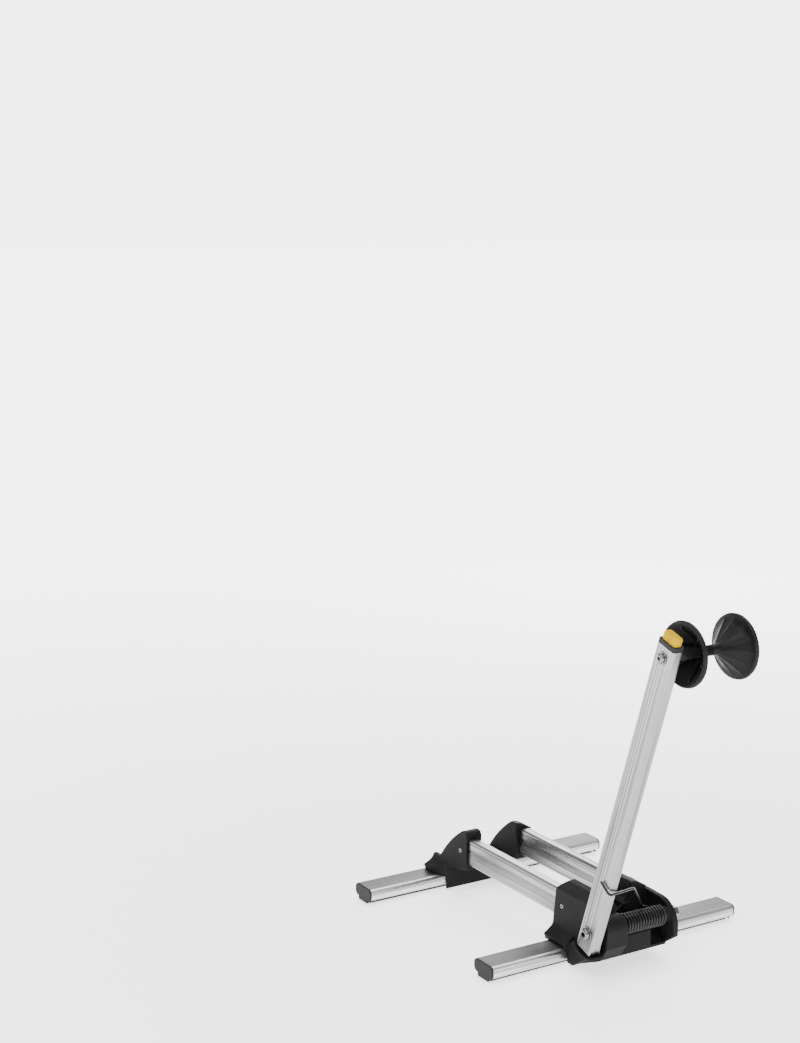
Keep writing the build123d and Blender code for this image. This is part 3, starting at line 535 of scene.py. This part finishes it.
coil_shape = bmesh.new()
coil_path = []
for step in range(turns * turn_steps + 1):
    turn = step / turn_steps
    angle = -2 * pi * turn
    coil_path.append((
        coil_left + turn * coil_pitch,
        pivot.y + coil_radius * cos(angle),
        pivot.z + coil_radius * sin(angle),
    ))
add_tube(coil_shape, coil_path, coil_wire_radius, 12)
coil_mesh = mesh_from(coil_shape, "spring_coil")
coil = piece("spring_coil", coil_mesh, None, "black_spring_wire", "torsion_spring")
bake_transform(coil)

leg_corners = [
    (coil_right, pivot.y + coil_radius, pivot.z - 0.0005),
    (coil_right - 0.001, pivot.y + coil_radius, pivot.z + 0.005),
    (slot_x + 0.020, pivot.y + coil_radius - 0.003, pivot.z + 0.0125),
    (slot_x - 0.022, pivot.y - 0.0272, pivot.z + 0.0546),
    (hook_x, pivot.y - 0.0412, pivot.z + 0.0598),
    (hook_x, pivot.y - 0.0260, pivot.z + 0.0710),
]
leg_bends = (0.004, 0.008, 0.005, 0.004)
leg_shape = bmesh.new()
add_tube(leg_shape, arc_path(leg_corners, leg_bends), leg_wire_radius, 14)
leg_mesh = mesh_from(leg_shape, "spring_leg")
piece("spring_leg", leg_mesh, "arm", "black_spring_wire", "torsion_spring")

# Spool: two fluted cones on a thin neck, each with a rounded rim and ribs inside.
rim_radius = 0.0363
half_width = 0.0385
neck_radius = 0.0063
bore_radius = 0.0047
flutes = 12
inner_ribs = 6
rib_thickness = 0.0012


def fluted(index, angle):
    """Hollows between the ridges of the outer cone, deepest half way along it."""
    depth = {3: 0.03, 4: 0.075, 5: 0.085, 6: 0.075, 7: 0.05}.get(index, 0.0)
    phase = (angle * flutes / (2 * pi)) % 1.0
    return 1.0 - depth * (1.0 - abs(2 * phase - 1) ** 3)


for side, direction in (("left", -1), ("right", 1)):
    profile = [
        (0.0004, bore_radius),
        (0.0004, neck_radius - 0.0003),
        (0.0075, neck_radius),
        (0.0105, neck_radius + 0.0022),
        (0.0165, neck_radius + 0.0084),
        (0.0225, neck_radius + 0.0146),
        (0.0285, neck_radius + 0.0208),
        (0.0322, neck_radius + 0.0246),
        (0.0328, rim_radius - 0.0032),
        (0.0331, rim_radius - 0.0014),
        (0.0340, rim_radius - 0.0003),
        (0.0355, rim_radius),
        (0.0372, rim_radius - 0.0004),
        (half_width, rim_radius - 0.0018),
        (half_width - 0.0001, rim_radius - 0.0030),
        (0.0376, rim_radius - 0.0038),
        (0.0330, rim_radius - 0.0086),
        (0.0240, rim_radius - 0.0172),
        (0.0150, rim_radius - 0.0258),
        (0.0112, neck_radius + 0.0008),
        (0.0112, bore_radius),
    ]
    cone_shape = bmesh.new()
    placed = [(along * direction, radius) for along, radius in profile]
    add_lathe(cone_shape, spool_centre, placed, 144, fluted)
    for index in range(inner_ribs):
        angle = radians(360 / inner_ribs * index + 15)
        outward = Vector((0, cos(angle), sin(angle)))
        across = Vector((0, -sin(angle), cos(angle))) * rib_thickness
        outline = []
        for along, radius in ((0.0114, 0.0066), (0.0180, 0.0070), (0.0350, 0.0262), (0.0350, 0.0318)):
            inward = Vector((along * direction, 0, 0))
            outline.append(spool_centre + inward + outward * radius)
        add_plate(cone_shape, outline, across)
    cone_mesh = mesh_from(cone_shape, side + "_fluted_cone")
    cone = piece(side + "_fluted_cone", cone_mesh, "spool", "cone_plastic", side + "_cone")
    edges = cone.modifiers.new("edges", "BEVEL")
    edges.width = 0.00025
    edges.segments = 2
    edges.limit_method = "ANGLE"
    edges.angle_limit = radians(40)

# ---------------------------------------------------------------- floor, light and camera
floor_shape = bmesh.new()
bmesh.ops.create_grid(floor_shape, x_segments=8, y_segments=8, size=30.0)
floor = bpy.data.objects.new("floor", mesh_from(floor_shape, "floor"))
bpy.context.scene.collection.objects.link(floor)
floor_material, floor_tree, floor_shader = material("floor_white")
floor_tone = noise(floor_tree, object_coordinates(floor_tree), 2.0, 2.0, 0.5)
floor_colour = ramp(floor_tree, floor_tone, [(0.3, (0.88, 0.88, 0.88)), (0.7, (0.90, 0.90, 0.90))])
floor_tree.links.new(floor_colour, floor_shader.inputs["Base Color"])
reach_node = floor_tree.nodes.new("ShaderNodeVectorMath")
reach_node.operation = "LENGTH"
floor_tree.links.new(object_coordinates(floor_tree), reach_node.inputs[0])
far = spread(floor_tree, reach_node.outputs["Value"], 0.0, 1.0, 0.5, 2.6)
glow = mixed(floor_tree, far, (0.32, 0.32, 0.32), (0.9, 0.9, 0.9))
floor_tree.links.new(glow, floor_shader.inputs["Emission Color"])
set_values(floor_shader, {"Roughness": 0.75, "Specular IOR Level": 0.2, "Emission Strength": 5.0})
floor.data.materials.append(floor_material)

world = bpy.data.worlds.new("studio")
bpy.context.scene.world = world
world.use_nodes = True
world_tree = world.node_tree
background = world_tree.nodes["Background"]
direction_source = world_tree.nodes.new("ShaderNodeTexCoord")
split = world_tree.nodes.new("ShaderNodeSeparateXYZ")
world_tree.links.new(direction_source.outputs["Generated"], split.inputs["Vector"])
facing = world_tree.nodes.new("ShaderNodeVectorMath")
facing.operation = "DOT_PRODUCT"
facing.inputs[1].default_value = (0.525, 0.851, 0.0)
world_tree.links.new(direction_source.outputs["Generated"], facing.inputs[0])
behind = spread(world_tree, facing.outputs["Value"], 0.0, 1.0, 0.5, 0.8)
low = spread(world_tree, split.outputs["Z"], 1.0, 0.0, 0.13, 0.24)
room_tones = [(0.0, (0.16, 0.16, 0.16)), (0.3, (0.10, 0.10, 0.10)), (0.9, (0.2, 0.2, 0.2))]
room = ramp(world_tree, split.outputs["Z"], room_tones)
sky = mixed(world_tree, math_node(world_tree, "MULTIPLY", behind, low), room, (1.0, 1.0, 1.0))
world_tree.links.new(sky, background.inputs["Color"])
background.inputs["Strength"].default_value = 5.0


def soft_light(name, place, target, width, height, power):
    """A rectangular softbox that points at a target."""
    data = bpy.data.lights.new(name, "AREA")
    data.shape = "RECTANGLE"
    data.size = width
    data.size_y = height
    data.energy = power
    light = bpy.data.objects.new(name, data)
    bpy.context.scene.collection.objects.link(light)
    light.location = place
    light.rotation_euler = (Vector(target) - Vector(place)).to_track_quat("-Z", "Y").to_euler()


soft_light("key", (-1.6, -0.9, 1.9), (0, 0, 0.1), 1.4, 1.0, 44)
soft_light("overhead", (0.2, 0.3, 2.2), (0, 0, 0), 1.8, 1.2, 44)
soft_light("back", (1.3, 1.6, 1.0), (0, 0, 0.15), 0.7, 1.4, 16)
soft_light("low_fill", (0.5, -2.0, 0.7), (0, 0, 0.15), 1.0, 0.8, 9)

camera_data = bpy.data.cameras.new("camera")
camera_data.sensor_width = 36.0
camera_data.lens = 61.97
camera_data.shift_x = 0.00125
camera_data.shift_y = -0.00144
camera_data.clip_start = 0.05
camera = bpy.data.objects.new("camera", camera_data)
bpy.context.scene.collection.objects.link(camera)
yaw = radians(31.686)
pitch = radians(10.035)
roll = radians(-0.334)
forward = Vector((sin(yaw) * cos(pitch), cos(yaw) * cos(pitch), -sin(pitch)))
level_right = Vector((cos(yaw), -sin(yaw), 0))
level_down = forward.cross(level_right)
right = level_right * cos(roll) + level_down * sin(roll)
down = level_down * cos(roll) - level_right * sin(roll)
turn_matrix = Matrix((right, -down, -forward)).transposed().to_4x4()
camera.matrix_world = Matrix.Translation((-1.2748, -1.6204, 0.8713)) @ turn_matrix
bpy.context.scene.camera = camera
